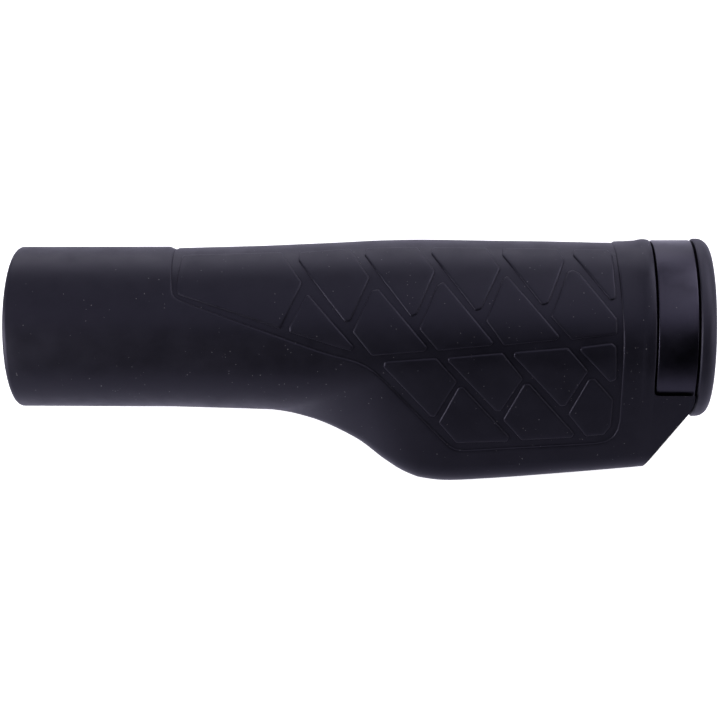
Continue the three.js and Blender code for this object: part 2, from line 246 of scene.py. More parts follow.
    def angle_over(self, x: np.ndarray, w: np.ndarray, far: float) -> np.ndarray:
        """Angle at which the palm side has a plan point.

        Args:
            x: places along the bar.
            w: places across it, towards the wing.
            far: the angle given to points that lie past the far side.

        Returns:
            The angles in radians.
        """
        low = np.zeros_like(x)
        high = np.full_like(x, math.pi)
        for _ in range(self.halvings):
            middle = (low + high) / 2
            beyond = self.radius(x, middle) * np.cos(middle) > w
            low = np.where(beyond, middle, low)
            high = np.where(beyond, high, middle)
        return np.where(w < -self.barrel(x), far, (low + high) / 2)

    def to_rest(self, points: np.ndarray) -> np.ndarray:
        """Turns level points in millimetres into the pose the grip lies in, in metres.

        Args:
            points: rows of x, w and z.

        Returns:
            Rows of x, y and z.
        """
        points = np.asarray(points, float)
        cosine, sine = math.cos(self.roll), math.sin(self.roll)
        y = -points[..., 1] * cosine - points[..., 2] * sine
        z = -points[..., 1] * sine + points[..., 2] * cosine
        return np.stack([points[..., 0], y, z], axis=-1) * MM


def rounded_outline(corners: Points, radius: float, step: float, arc_steps: int = 4) -> np.ndarray:
    """A closed outline with rounded corners and evenly divided sides.

    Args:
        corners: the outline's corners, each with its own rounding as a third value or without.
        radius: how far from the other corners the rounding starts, where the sides are long enough.
        step: longest piece of a straight side.
        arc_steps: pieces in each rounding.

    Returns:
        The points of the outline, in order.
    """
    rounds = [corner[2] if len(corner) > 2 else radius for corner in corners]
    corners = np.array([corner[:2] for corner in corners], float)
    points = []
    for i, here in enumerate(corners):
        before, after = corners[i - 1], corners[(i + 1) % len(corners)]
        back = min(rounds[i], np.linalg.norm(before - here) / 2)
        forward = min(rounds[i], np.linalg.norm(after - here) / 2)
        enter = here + (before - here) * back / np.linalg.norm(before - here)
        leave = here + (after - here) * forward / np.linalg.norm(after - here)
        for t in np.linspace(0, 1, arc_steps + 1):
            points.append((1 - t) ** 2 * enter + 2 * t * (1 - t) * here + t**2 * leave)
        length = np.linalg.norm(after - here)
        stop = after + (here - after) * min(rounds[(i + 1) % len(rounds)], length / 2) / length
        count = max(1, math.ceil(np.linalg.norm(stop - leave) / step))
        for t in np.arange(1, count) / count:
            points.append(leave + (stop - leave) * t)
    return np.array(points)


@dataclass
class PalmField:
    """Grooved field on the palm side: its border, its raised islands and the grooves between."""

    shape: RubberShape
    depth: float = 0.3
    wall_width: float = 0.46
    far_angle: float = math.radians(194)
    corner: float = 0.28
    border_corner: float = 1.6
    step: float = 0.9
    merge_below: float = 0.03
    section_at: float = 95.0
    section_points: int = 3601
    wall_shares: Sequence[float] = (0.0, 0.28, 0.52, 0.74, 0.92, 1.0)
    border: Points = (
        (30.8, -20), (32.5, -5.1), (61.5, 5.5, 3), (69.7, 7.5, 4), (86, 24.3, 2.2),
        (117.85, 22.4, 4.4), (117.9, 2, 3), (116.7, -20),
    )
    islands: Sequence[Points] = (
        ((33.8, -13.7), (52.8, -14.2), (57.1, -8.1), (53.3, 0.5), (33.9, -6), (33.5, -7.8)),
        ((58.5, -5.7), (67, 4.2), (66.6, 4.7), (55.3, 1.2), (55.3, 0.4)),
        ((56.6, -14.2), (66, -14.9), (69.9, -9.1), (66.5, -0.9), (65.7, -0.8), (56.5, -12.7)),
        ((70.7, -6.4), (71.8, -6.7), (80.8, 4.2), (80.5, 4.8), (70.7, 5.6), (67.3, 1.3)),
        ((69.5, -15), (78.8, -15.2), (82.3, -10.4), (78.9, -2.1), (78.1, -1.8), (69.1, -13.8)),
        ((83.1, -7.5), (84, -8.1), (93.2, 3.3), (92.8, 3.7), (83.1, 4.6), (79.8, 0.7)),
        ((82.2, -15.1), (92.1, -15), (94.6, -11), (91, -3.2), (90.2, -2.9), (81.9, -14)),
        ((95.4, -8.7), (96, -9.3), (105.5, 2.1), (105.1, 2.6), (95.5, 3.6), (92.3, -0.9)),
        ((95.6, -15), (105.6, -14.8), (106.8, -12.6), (103.5, -4.3), (102.6, -4),
         (95.4, -13.7)),
        ((107.6, -10.2), (108.4, -10.5), (109.5, -9.9), (116.2, -1.2), (116.2, 1.5),
         (108.1, 2.5), (104.4, -1.7)),
        ((109.1, -14.7), (115.2, -14.7), (115.9, -13.8), (116.1, -5.3), (115.4, -4.9),
         (108.8, -13.7)),
        ((73.2, 7.1), (82.6, 6.4), (86.4, 10.7), (82.3, 17.3), (81.7, 17.2), (73, 7.9)),
        ((87.1, 11.9), (87.8, 12), (96.5, 21.4), (96.2, 22.1), (86.7, 22.4), (83.4, 18.6)),
        ((85.2, 6.3), (95, 5.4), (98.8, 10.1), (94.9, 16.1), (94.1, 16.1), (85.1, 6.7)),
        ((99.5, 11.2), (100.3, 11.3), (108.9, 20.7), (108.6, 21.3), (99.2, 21.8), (95.7, 18)),
        ((97.6, 5.2), (107.2, 4.4), (111, 8.7), (107.1, 15.1), (106.3, 15.1), (97.4, 5.8)),
        ((111.6, 10.3), (112.5, 10.3), (116, 14.1), (115.9, 19.1), (114.7, 20.7), (111.5, 21),
         (108.1, 16.9)),
        ((110, 4.2), (115.4, 3.5), (116.1, 4.1), (116.4, 10.1), (115.4, 10.5), (109.8, 4.7)),
    )

    def __post_init__(self) -> None:
        """Unrolls the skin round one section, and the outlines onto it."""
        self.table_angle = np.linspace(-math.pi / 2, 3 * math.pi / 2, self.section_points)
        section = self.shape.skin(np.full(self.section_points, self.section_at), self.table_angle)
        lengths = np.linalg.norm(np.diff(section, axis=0), axis=1)
        self.table_girth = np.concatenate(([0], np.cumsum(lengths)))
        self.girth = float(self.table_girth[-1])
        self.border_line = self.unroll(rounded_outline(self.border, self.border_corner, self.step))
        self.island_lines = [
            self.unroll(rounded_outline(island, self.corner, self.step)) for island in self.islands
        ]

    def girth_at(self, angle: np.ndarray) -> np.ndarray:
        """Distance round the reference section, from the underside, at an angle."""
        return np.interp(angle, self.table_angle, self.table_girth)

    def angle_at(self, girth: np.ndarray) -> np.ndarray:
        """Angle at a distance round the reference section."""
        return np.interp(girth, self.table_girth, self.table_angle)

    def unroll(self, plan: np.ndarray) -> np.ndarray:
        """Plan points as places along the bar and round it, without repeats.

        Args:
            plan: points on the palm side, along the bar and across it.

        Returns:
            The points as place along the bar and distance round it.
        """
        angle = self.shape.angle_over(plan[:, 0], plan[:, 1], self.far_angle)
        flat = np.stack([plan[:, 0], self.girth_at(angle)], axis=1)
        apart = np.linalg.norm(flat - np.roll(flat, 1, axis=0), axis=1) > self.merge_below
        return flat[apart]

    @staticmethod
    def distance(points: np.ndarray, line: np.ndarray) -> np.ndarray:
        """Distance of points inside a closed outline, negative outside it.

        Args:
            points: the points to measure.
            line: the outline's points in order.

        Returns:
            One distance for each point.
        """
        start, end = line, np.roll(line, -1, axis=0)
        along = end - start
        nearest = np.full(len(points), np.inf)
        inside = np.zeros(len(points), bool)
        for a, b, d in zip(start, end, along):
            t = np.clip(((points - a) @ d) / (d @ d), 0, 1)
            nearest = np.minimum(nearest, np.hypot(*(points - a - t[:, None] * d).T))
            spans = (a[1] > points[:, 1]) != (b[1] > points[:, 1])
            if a[1] != b[1]:
                crossing = a[0] + (points[:, 1] - a[1]) * (b[0] - a[0]) / (b[1] - a[1])
                inside ^= spans & (points[:, 0] < crossing)
        return np.where(inside, nearest, -nearest)

    def groove(self, points: np.ndarray) -> np.ndarray:
        """How far points lie inside the grooves, negative on the skin and the islands.

        Args:
            points: unrolled places.

        Returns:
            One distance for each point.
        """
        depth = self.distance(points, self.border_line)
        for line in self.island_lines:
            depth = np.minimum(depth, -self.distance(points, line))
        return depth

    def height(self, points: np.ndarray) -> np.ndarray:
        """Height of the rubber over its smooth skin, in millimetres."""
        across = np.clip(self.groove(points) / self.wall_width + 0.5, 0, 1)
        return -self.depth * (1 - np.sqrt(1 - across**2))

    def offset_loops(self) -> list[np.ndarray]:
        """Each outline at several distances across its wall, so that the mesh follows it.

        Returns:
            The loops, as unrolled points.
        """
        loops = []
        for line in [self.border_line, *self.island_lines]:
            tangent = np.roll(line, -1, axis=0) - np.roll(line, 1, axis=0)
            tangent /= np.linalg.norm(tangent, axis=1)[:, None]
            normal = np.stack([tangent[:, 1], -tangent[:, 0]], axis=1)
            if self.groove(line + normal * self.wall_width).mean() < 0:
                normal = -normal
            for across in self.wall_shares:
                loops.append(line + normal * (across - 0.5) * self.wall_width)
        return loops


def linked(name: str, data: ID) -> Object:
    """Makes an object of a mesh, lamp or camera and links it to the scene.

    Args:
        name: the object's name.
        data: its mesh, lamp or camera data.

    Returns:
        The object.
    """
    made = bpy.data.objects.new(name, data)
    bpy.context.scene.collection.objects.link(made)
    return made


def rectangle(low_x: float, low_y: float, high_x: float, high_y: float) -> np.ndarray:
    """The four corners of a rectangle, in order."""
    return np.array([(low_x, low_y), (high_x, low_y), (high_x, high_y), (low_x, high_y)])


def mesh_object(name: str, points: np.ndarray, faces: Sequence[Sequence[int]]) -> Object:
    """Makes an object from points in metres and faces.

    Args:
        name: the object's name.
        points: its vertices in the row frame.
        faces: indices of each face's vertices.

    Returns:
        The new object, linked to the scene.
    """
    mesh = bpy.data.meshes.new(name)
    mesh.from_pydata([tuple(p) for p in points], [], [tuple(f) for f in faces])
    mesh.validate()
    return linked(name, mesh)


def ring_faces(rows: Sequence[Sequence[int]], closed: bool = False) -> list[tuple[int, ...]]:
    """Faces between rings of vertices, where a ring of one vertex is a tip.

    Args:
        rows: the vertex numbers of each ring, in order.
        closed: whether the last ring joins the first.

    Returns:
        The faces, as vertex numbers.
    """
    faces = []
    for a, b in list(zip(rows, rows[1:])) + ([(rows[-1], rows[0])] if closed else []):
        sides = max(len(a), len(b))
        for i in range(sides):
            j = (i + 1) % sides
            if len(a) == 1:
                faces.append((a[0], b[i], b[j]))
            elif len(b) == 1:
                faces.append((a[i], a[j], b[0]))
            else:
                faces.append((a[i], a[j], b[j], b[i]))
    return faces


def face_outward(made: Object) -> Object:
    """Turns every face of a closed mesh outward and returns the object.

    Args:
        made: an object with a closed mesh.

    Returns:
        The same object.
    """
    work = bmesh.new()
    work.from_mesh(made.data)
    bmesh.ops.recalc_face_normals(work, faces=work.faces)
    work.to_mesh(made.data)
    work.free()
    return made


def bake(made: Object) -> Object:
    """Applies an object's modifiers and returns it.

    Args:
        made: the object.

    Returns:
        The same object.
    """
    view = bpy.context.evaluated_depsgraph_get()
    old = made.data
    made.data = bpy.data.meshes.new_from_object(made.evaluated_get(view))
    made.modifiers.clear()
    bpy.data.meshes.remove(old)
    return made


class Join(Enum):
    """What one solid does to another."""

    ADD = "UNION"
    CUT = "DIFFERENCE"


def combine(base: Object, tool: Object, join: Join) -> Object:
    """Joins or cuts one object with another, which is then removed.

    Args:
        base: the object that stays.
        tool: the object that joins or cuts it.
        join: which of the two it does.

    Returns:
        The object that stays.
    """
    step = base.modifiers.new("combine", "BOOLEAN")
    step.operation = join.value
    step.object = tool
    step.solver = "EXACT"
    bake(base)
    bpy.data.objects.remove(tool)
    return base


def shade(made: Object, sharp_over: float) -> Object:
    """Shades an object smooth, except over edges sharper than an angle in degrees.

    Args:
        made: the object.
        sharp_over: the angle, in degrees.

    Returns:
        The same object.
    """
    made.data.polygons.foreach_set("use_smooth", [True] * len(made.data.polygons))
    made.data.set_sharp_from_angle(angle=math.radians(sharp_over))
    return made


@dataclass
class SolidMaker:
    """Makes turned and upright solids in the level frame and lays them in the rest pose."""

    shape: RubberShape
    sides: int = 160

    def turned(self, name: str, profile: Points, sides: int | None = None) -> Object:
        """A solid of revolution about the bar axis.

        Args:
            name: the object's name.
            profile: pairs of radius and x, closed, or from axis to axis.
            sides: number of sides, if not the maker's own.

        Returns:
            The object.
        """
        sides = sides or self.sides
        rows, points = [], []
        for radius, x in profile:
            count = 1 if radius == 0 else sides
            rows.append(range(len(points), len(points) + count))
            for i in range(count):
                angle = TURN * i / sides
                points.append((x, radius * math.cos(angle), radius * math.sin(angle)))
        faces = ring_faces(rows, closed=profile[0][0] > 0)
        return face_outward(mesh_object(name, self.shape.to_rest(np.array(points)), faces))

    def prism(self, name: str, outline: np.ndarray, low: float, high: float,
              place: Callable[[np.ndarray], np.ndarray] | None = None) -> Object:
        """An outline pulled up into a solid between two heights.

        Args:
            name: the object's name.
            outline: points in plan, or in the plane that place lays down.
            low: its lower height.
            high: its upper height.
            place: turns points of the prism into level points, if it isn't upright.

        Returns:
            The object.
        """
        count = len(outline)
        lower = np.column_stack([outline, np.full(count, low)])
        upper = np.column_stack([outline, np.full(count, high)])
        points = np.vstack([lower, upper])
        points = points if place is None else place(points)
        faces = [tuple(range(count)), tuple(range(count, 2 * count))]
        for i in range(count):
            j = (i + 1) % count
            faces.append((i, j, count + j, count + i))
        return face_outward(mesh_object(name, self.shape.to_rest(points), faces))


def arc(centre: Sequence[float], radius: float, start: float, stop: float,
        steps: int = 6) -> list[tuple[float, float]]:
    """Points on an arc of a profile, from one angle in degrees to another."""
    angles = np.radians(np.linspace(start, stop, steps + 1))
    return [(centre[0] + radius * math.cos(a), centre[1] + radius * math.sin(a)) for a in angles]


@dataclass
class RubberBody:
    """The rubber moulding: sleeve, palm wing, grooved field, end bead and clamp notch."""

    shape: RubberShape
    maker: SolidMaker
    palm: PalmField
    bore_radius: float = 13.1
    bore_bevel: float = 0.25
    inner_round: float = 1.0
    columns: int = 136
    row_step: float = 1.0
    field_from: float = 29.0
    field_to: float = 119.0
    clear_of_walls: float = 0.42
    notch_radius: float = 17.4
    notch_corner: float = 1.0
    lip_below: float = 15.8
    slant_top: Sequence[float] = (131.6, 15.5)
    slant_bottom: Sequence[float] = (123.05, 26.9)
    slant_round: float = 1.6
    beyond: float = 20.0
    field_low_angle: float = math.radians(4)
    spare_columns: int = 2
    sleeve_from: float = 3.0
    sleeve_rows: int = 12
    row_gap: float = 2.0
    bead_from: float = 120.0
    bead_rows: int = 9
    rounding_rows: int = 6
    after_edge: float = 0.05
    wing_rows: int = 8
    bore_middle: float = 60.0
    bore_beyond: float = 3.0
    nudge: float = 0.05
    nudge_radius: float = 16.0
    weld: float = 1e-4
    sharp_over: float = 40.0

    def rows(self) -> list[tuple[float, float]]:
        """Places along the bar where the skin has a ring, each with its inset.

        Returns:
            Pairs of place and inset.
        """
        rounding = np.radians(np.linspace(0, 90, self.rounding_rows))
        first = [(self.inner_round * (1 - math.sin(a)), self.inner_round * (1 - math.cos(a)))
                 for a in rounding[::-1]]
        sleeve = [(x, 0.0) for x in np.linspace(self.sleeve_from, self.field_from - self.row_gap,
                                                self.sleeve_rows)]
        count = round((self.field_to - self.field_from) / self.row_step)
        middle = [(x, 0.0) for x in np.linspace(self.field_from, self.field_to, count + 1)]
        shape = self.shape
        bead = np.linspace(shape.bead_centre - shape.bead_half_width, shape.end - shape.end_round,
                           self.bead_rows)
        edge = shape.end - shape.end_round * (1 - np.sin(np.radians(np.linspace(15, 90, self.rounding_rows))))
        wing = [shape.end + self.after_edge, *np.linspace(shape.end + 1, shape.wing_end, self.wing_rows)]
        last = [(float(x), 0.0) for x in [self.bead_from, *bead, *edge, *wing]]
        return [*first, *sleeve, *middle, *last]

    def skin(self) -> Object:
        """The skin as one closed mesh, with the field's mesh fitted into its rings.

        Returns:
            The object.
        """
        rows = self.rows()
        x = np.array([row[0] for row in rows])
        inset = np.array([row[1] for row in rows])
        girth = self.palm.girth * np.arange(self.columns) / self.columns
        angle = self.palm.angle_at(girth)
        grid = self.shape.skin(x[:, None], angle[None, :])
        scale = 1 - inset[:, None] / np.hypot(grid[..., 1], grid[..., 2])
        grid[..., 1:] *= scale[..., None]
        points = [grid.reshape(-1, 3)]
        count = self.columns

        top = int(np.argmin(np.abs(x - self.field_from)))
        bottom = int(np.argmin(np.abs(x - self.field_to)))
        left = int(np.searchsorted(girth, self.palm.girth_at(self.field_low_angle)))
        right = self.spare_columns + int(np.searchsorted(girth, self.palm.girth_at(self.palm.far_angle)))
        faces = []
        for i in range(len(rows) - 1):
            for j in range(count):
                if top <= i < bottom and left <= j < right:
                    continue
                k = (j + 1) % count
                faces.append((i * count + j, i * count + k, (i + 1) * count + k, (i + 1) * count + j))
        patch_points, patch_faces = self.field_patch(x, girth, (top, bottom, left, right))
        points.append(patch_points)
        faces += patch_faces
        total = sum(len(p) for p in points)
        points += self.bore_rows(angle)
        bore_count = len(points) - 2
        previous = 0
        for ring in range(bore_count):
            start = total + ring * count
            for j in range(count):
                k = (j + 1) % count
                faces.append((previous + k, previous + j, start + j, start + k))
            previous = start
        faces.append(tuple(previous + j for j in range(count)))
        last = (len(rows) - 1) * count
        faces.append(tuple(last + j for j in range(count)))
        made = mesh_object("rubber_body", self.shape.to_rest(np.vstack(points)), faces)
        return face_outward(made)

    def bore_rows(self, angle: np.ndarray) -> list[np.ndarray]:
        """Rings of the bore, from its bevelled mouth to a blind end inside the notch.

        Args:
            angle: the angle of each point of a ring.

        Returns:
            The points of each ring.
        """
        rings = []
        for radius, x in [(self.bore_radius + self.bore_bevel, 0), (self.bore_radius, self.bore_bevel),
                          (self.bore_radius, self.bore_middle),
                          (self.bore_radius, self.shape.end + self.bore_beyond)]:
            ring = np.stack([np.full_like(angle, x), radius * np.cos(angle), radius * np.sin(angle)])
            rings.append(ring.T)
        return rings

    def field_patch(self, x: np.ndarray, girth: np.ndarray,
                    window: tuple[int, int, int, int]) -> tuple[np.ndarray, list[tuple[int, ...]]]:
        """Mesh of the grooved field, whose rim is the grid's own vertices.

        Args:
            x: places of the grid's rings.
            girth: places of the grid's columns round the section.
            window: first and last ring, and first and last column, of the patch.

        Returns:
            New points in the level frame, and faces in the whole mesh's own numbering.
        """
        top, bottom, left, right = window
        count = self.columns
        rim = [(i, left) for i in range(top, bottom)]
        rim += [(bottom, j) for j in range(left, right)]
        rim += [(i, right) for i in range(bottom, top, -1)]
        rim += [(top, j) for j in range(right, left, -1)]
        rim_flat = np.array([(x[i], girth[j]) for i, j in rim])
        inner = np.array([(x[i], girth[j]) for i in range(top + 1, bottom)
                          for j in range(left + 1, right)])
        inner = inner[np.abs(self.palm.groove(inner)) > self.clear_of_walls]
        flat = [rim_flat, inner]
        edges = [(i, (i + 1) % len(rim)) for i in range(len(rim))]
        total = len(rim_flat) + len(inner)
        for loop in self.palm.offset_loops():
            flat.append(loop)
            edges += [(total + i, total + (i + 1) % len(loop)) for i in range(len(loop))]
            total += len(loop)
        flat = np.vstack(flat)
        verts = [Vector(p) for p in flat]
        out, _, triangles, origin, _, _ = delaunay_2d_cdt(verts, edges, [], 0, self.weld, True)
        number = {}
        new_flat = []
        start = len(x) * count
        for i, place in enumerate(out):
            source = [s for s in origin[i] if s < len(rim)]
            if source:
                ring, column = rim[source[0]]
                number[i] = ring * count + column
            else:
                number[i] = start + len(new_flat)
                new_flat.append(tuple(place))
        new_flat = np.array(new_flat)
        points = self.raised(new_flat)
        return points, [tuple(number[i] for i in triangle) for triangle in triangles]

    def raised(self, flat: np.ndarray) -> np.ndarray:
        """Points of the skin at unrolled places, moved along its normal by the field's height.

        Args:
            flat: places along the bar and round it.

        Returns:
            The points in the level frame.
        """
        angle = self.palm.angle_at(flat[:, 1])
        base = self.shape.skin(flat[:, 0], angle)
        along = self.shape.skin(flat[:, 0] + self.nudge, angle) - base
        turn = self.nudge / self.nudge_radius
        around = self.shape.skin(flat[:, 0], angle + turn) - self.shape.skin(flat[:, 0], angle - turn)
        normal = np.cross(along, around)
        normal /= np.linalg.norm(normal, axis=1)[:, None]
        outward = np.sum(normal[:, 1:] * base[:, 1:], axis=1) > 0
        normal = np.where(outward[:, None], normal, -normal)
        return base + normal * self.palm.height(flat)[:, None]

    def notch_tools(self) -> list[Object]:
        """Cutters for the clamp's room: a round seat, and an upright lip over and under the wing.

        Returns:
            The cutters.
        """
        end, far = self.shape.end, self.shape.wing_end + self.beyond
        seat = self.maker.turned("cut_seat", [(0, end), (self.notch_radius, end),
                                              (self.notch_radius, far), (0, far)])
        tools = [seat]
        for lip, low, high in [(self.shape.lip_above, 0, self.beyond), (self.lip_below, -self.beyond, 0)]:
            corners = [(end, -self.beyond), (end, lip), (far, lip), (far, -self.beyond)]
            outline = rounded_outline(corners, self.notch_corner, WHOLE_SIDE)
            tools.append(self.maker.prism("cut_lip", outline, low, high))
        return tools

    def slant_tool(self) -> Object:
        """Cutter for everything past the slanted end of the wing.

        Returns:
            The cutter.
        """
        (top_x, top_w), (bottom_x, bottom_w) = self.slant_top, self.slant_bottom
        lean = (top_x - bottom_x) / (bottom_w - top_w)
        far = self.beyond
        turn = [((1 - t) ** 2 * (top_x - self.slant_round * lean) + (1 - (1 - t) ** 2) * top_x,
                 (1 - t) ** 2 * (top_w + self.slant_round) + 2 * t * (1 - t) * top_w
                 + t**2 * (top_w - self.slant_round)) for t in np.linspace(0, 1, 7)]
        outline = [(bottom_x - far * lean, bottom_w + far), *turn, (top_x, -far), (top_x + far, -far),
                   (top_x + far, bottom_w + far)]
        return self.maker.prism("cut_slant", np.array(outline), -far, far)

    def build(self) -> Object:
        """The whole rubber moulding.

        Returns:
            The object.
        """
        body = self.skin()
        for tool in [*self.notch_tools(), self.slant_tool()]:
            combine(body, tool, Join.CUT)
        return shade(body, self.sharp_over)


@dataclass
class CoreSleeve:
    """Rigid plastic liner inside the rubber, slotted at its outer end."""

    maker: SolidMaker
    bore: float = 11.2
    radius: float = 12.8
    start: float = 0.3
    end: float = 131.5
    bevel: float = 0.25
    slot_width: float = 1.6
    slot_from: float = 121
    slots: int = 4
    spare: float = 1.0

    def build(self) -> Object:
        """The liner with its slots.

        Returns:
            The object.
        """
        b = self.bevel
        made = self.maker.turned("liner_tube", [
            (self.bore, self.start + b), (self.bore + b, self.start), (self.radius - b, self.start),
            (self.radius, self.start + b), (self.radius, self.end - b), (self.radius - b, self.end),
            (self.bore + b, self.end), (self.bore, self.end - b)])
        half = self.slot_width / 2
        for i in range(self.slots):
            turn = TURN * (i + 0.5) / self.slots
            outline = rectangle(self.slot_from, -half, self.end + self.spare, half)
            tool = self.maker.prism("cut_slot", outline, self.bore - self.spare, self.radius + self.spare,
                                    lambda p, turn=turn: turned_about_bar(p, turn))
            combine(made, tool, Join.CUT)
        return shade(made, SHARP_OVER)


def turned_about_bar(points: np.ndarray, angle: float) -> np.ndarray:
    """Level points turned about the bar axis, from straight up towards the wing's far side.

    Args:
        points: rows of x, w and z.
        angle: the turn, in radians.

    Returns:
        The turned rows.
    """
    cosine, sine = math.cos(angle), math.sin(angle)
    w = points[:, 1] * cosine - points[:, 2] * sine
    z = points[:, 1] * sine + points[:, 2] * cosine
    return np.column_stack([points[:, 0], w, z])


@dataclass
class ClampSet:
    """Split aluminium ring with its lug, and the screw that closes it."""

    maker: SolidMaker
    start: float = 124.1
    end: float = 131.65
    bore: float = 13.1
    radius: float = 17
    bevel: float = 0.35
    slot_width: float = 1.6
    lug_angle: float = math.radians(-60)
    lug_root: float = 14
    lug_reach: float = 21.2
    lug_width: float = 10
    lug_corner: float = 2.2
    bolt_offset: float = 17.4
    bolt_radius: float = 1.5
    head_radius: float = 2.75
    head_height: float = 2.8
    head_sink: float = 0.4
    bolt_length: float = 5.8
    gap: float = 0.3
    socket_radius: float = 1.45
    socket_depth: float = 1.6
    thread_pitch: float = 0.5
    thread_depth: float = 0.22
    thread_runout: float = 0.2
    shaft_rings: int = 60
    tip_bevel: float = 0.35
    tip_length: float = 0.3
    head_bevel: float = 0.15
    head_round: float = 0.5
    sides: int = 48
    spare: float = 1.0

    def to_lug(self, points: np.ndarray) -> np.ndarray:
        """Turns points drawn over the bar to the lug's place under it.

        Args:
            points: rows of x, width across the lug, and height from the bar axis.

        Returns:
            The level points.
        """
        out, side = math.cos(self.lug_angle), math.sin(self.lug_angle)
        w = -(points[:, 2] * out - points[:, 1] * side)
        z = points[:, 2] * side + points[:, 1] * out
        return np.column_stack([points[:, 0], w, z])

    def rod(self, name: str, radius: float, start: float, stop: float,
            sides: int | None = None) -> Object:
        """A round rod along the bolt's axis, or one with a few sides.

        Args:
            name: the object's name.
            radius: the rod's radius.
            start: where it starts, from the middle of the lug.
            stop: where it ends.
            sides: number of sides, if not the set's own.

        Returns:
            The object.
        """
        sides = sides or self.sides
        angles = TURN * np.arange(sides) / sides
        outline = np.column_stack([radius * np.cos(angles), radius * np.sin(angles)])
        middle = (self.start + self.end) / 2

        def place(points: np.ndarray) -> np.ndarray:
            """Lays the rod across the lug."""
            moved = np.column_stack([points[:, 0] + middle, points[:, 2], points[:, 1] + self.bolt_offset])
            return self.to_lug(moved)

        return self.maker.prism(name, outline, start, stop, place)

    def ring(self) -> Object:
        """The ring with its lug, slot and screw hole.

        Returns:
            The object.
        """
        b = self.bevel
        made = self.maker.turned("clamp_band", [
            (self.bore, self.start + b), (self.bore + b, self.start),
            *arc((self.radius - b, self.start + b), b, -90, 0, 4),
            *arc((self.radius - b, self.end - b), b, 0, 90, 4),
            (self.bore + b, self.end), (self.bore, self.end - b)])
        half = self.lug_width / 2
        outline = rounded_outline(rectangle(-half, self.lug_root, half, self.lug_reach),
                                  self.lug_corner, WHOLE_SIDE, 8)

        def upright(points: np.ndarray) -> np.ndarray:
            """Stands the lug's outline across the bar."""
            return self.to_lug(np.column_stack([points[:, 2], points[:, 0], points[:, 1]]))

        lug = self.maker.prism("lug", outline, self.start, self.end, upright)
        bevel = lug.modifiers.new("edge", "BEVEL")
        bevel.width = self.bevel * MM
        bevel.segments = 3
        bevel.limit_method = "ANGLE"
        bake(lug)
        combine(made, lug, Join.ADD)
        slot, spare = self.slot_width / 2, self.spare
        cut = rectangle(-slot, self.bore - 2 * spare, slot, self.lug_reach + 2 * spare)
        seat = half - self.head_height - self.head_sink
        for tool in [self.maker.prism("cut", cut, self.start - spare, self.end + spare, upright),
                     self.rod("cut", self.bolt_radius + self.gap, -half - spare, half + spare),
                     self.rod("cut", self.head_radius + self.gap, seat, half + spare)]:
            combine(made, tool, Join.CUT)
        return shade(made, SHARP_OVER)

    def bolt(self) -> Object:
        """The screw: rounded socket head and threaded shaft.

        Returns:
            The object.
        """
        under = self.lug_width / 2 - self.head_height - self.head_sink + self.gap
        top = under + self.head_height
        tip = under - self.bolt_length
        profile = [(0.0, tip), (self.bolt_radius - self.tip_bevel, tip)]
        shaft = self.bolt_length - self.tip_length
        profile += [(self.bolt_radius, tip + self.tip_length + shaft * i / self.shaft_rings)
                    for i in range(self.shaft_rings + 1)]
        profile += [(self.head_radius - self.head_bevel, under), (self.head_radius, under + self.head_bevel),
                    *arc((self.head_radius - self.head_round, top - self.head_round), self.head_round,
                         0, 90, 5), (0.0, top)]
        rows, points = [], []
        middle = (self.start + self.end) / 2
        for radius, along in profile:
            number = 1 if radius == 0 else self.sides
            rows.append(range(len(points), len(points) + number))
            for j in range(number):
                angle = TURN * j / self.sides
                r = radius
                if radius == self.bolt_radius and along < under - self.thread_runout:
                    phase = (along / self.thread_pitch + j / self.sides) % 1
                    r = radius - self.thread_depth * abs(2 * phase - 1)
                points.append((middle + r * math.cos(angle), along, self.bolt_offset + r * math.sin(angle)))
        level = self.to_lug(np.array(points))
        made = face_outward(mesh_object("socket_screw", self.maker.shape.to_rest(level),
                                        ring_faces(rows)))
        socket = self.rod("cut", self.socket_radius, top - self.socket_depth, top + self.spare, sides=6)
        combine(made, socket, Join.CUT)
        return shade(made, SHARP_OVER)


@dataclass
class EndCap:
    """Plastic disc over the outer end, with its spigot in the liner."""

    maker: SolidMaker
    start: float = 132
    end: float = 135.1
    radius: float = 17.3
    edge_round: float = 2.2
    back_bevel: float = 0.25
    spigot_radius: float = 10.9
    spigot_wall: float = 1.7
    spigot_start: float = 126.5
    thickness: float = 2.1
    face_inset: float = 0.6

    def build(self) -> Object:
        """The cap.

        Returns:
            The object.
        """
        b = self.back_bevel
        inner = self.spigot_radius - self.spigot_wall
        edge = self.radius - self.edge_round
        return shade(self.maker.turned("cap_disc", [
            (0, self.end - self.thickness), (inner, self.end - self.thickness), (inner, self.spigot_start),
            (self.spigot_radius - b, self.spigot_start), (self.spigot_radius, self.spigot_start + b),
            (self.spigot_radius, self.start), (self.radius - b, self.start),
            (self.radius, self.start + b),
            *arc((edge, self.end - self.edge_round), self.edge_round, 0, 90, 10),
            (edge - self.face_inset, self.end), (0, self.end)]), SHARP_OVER)


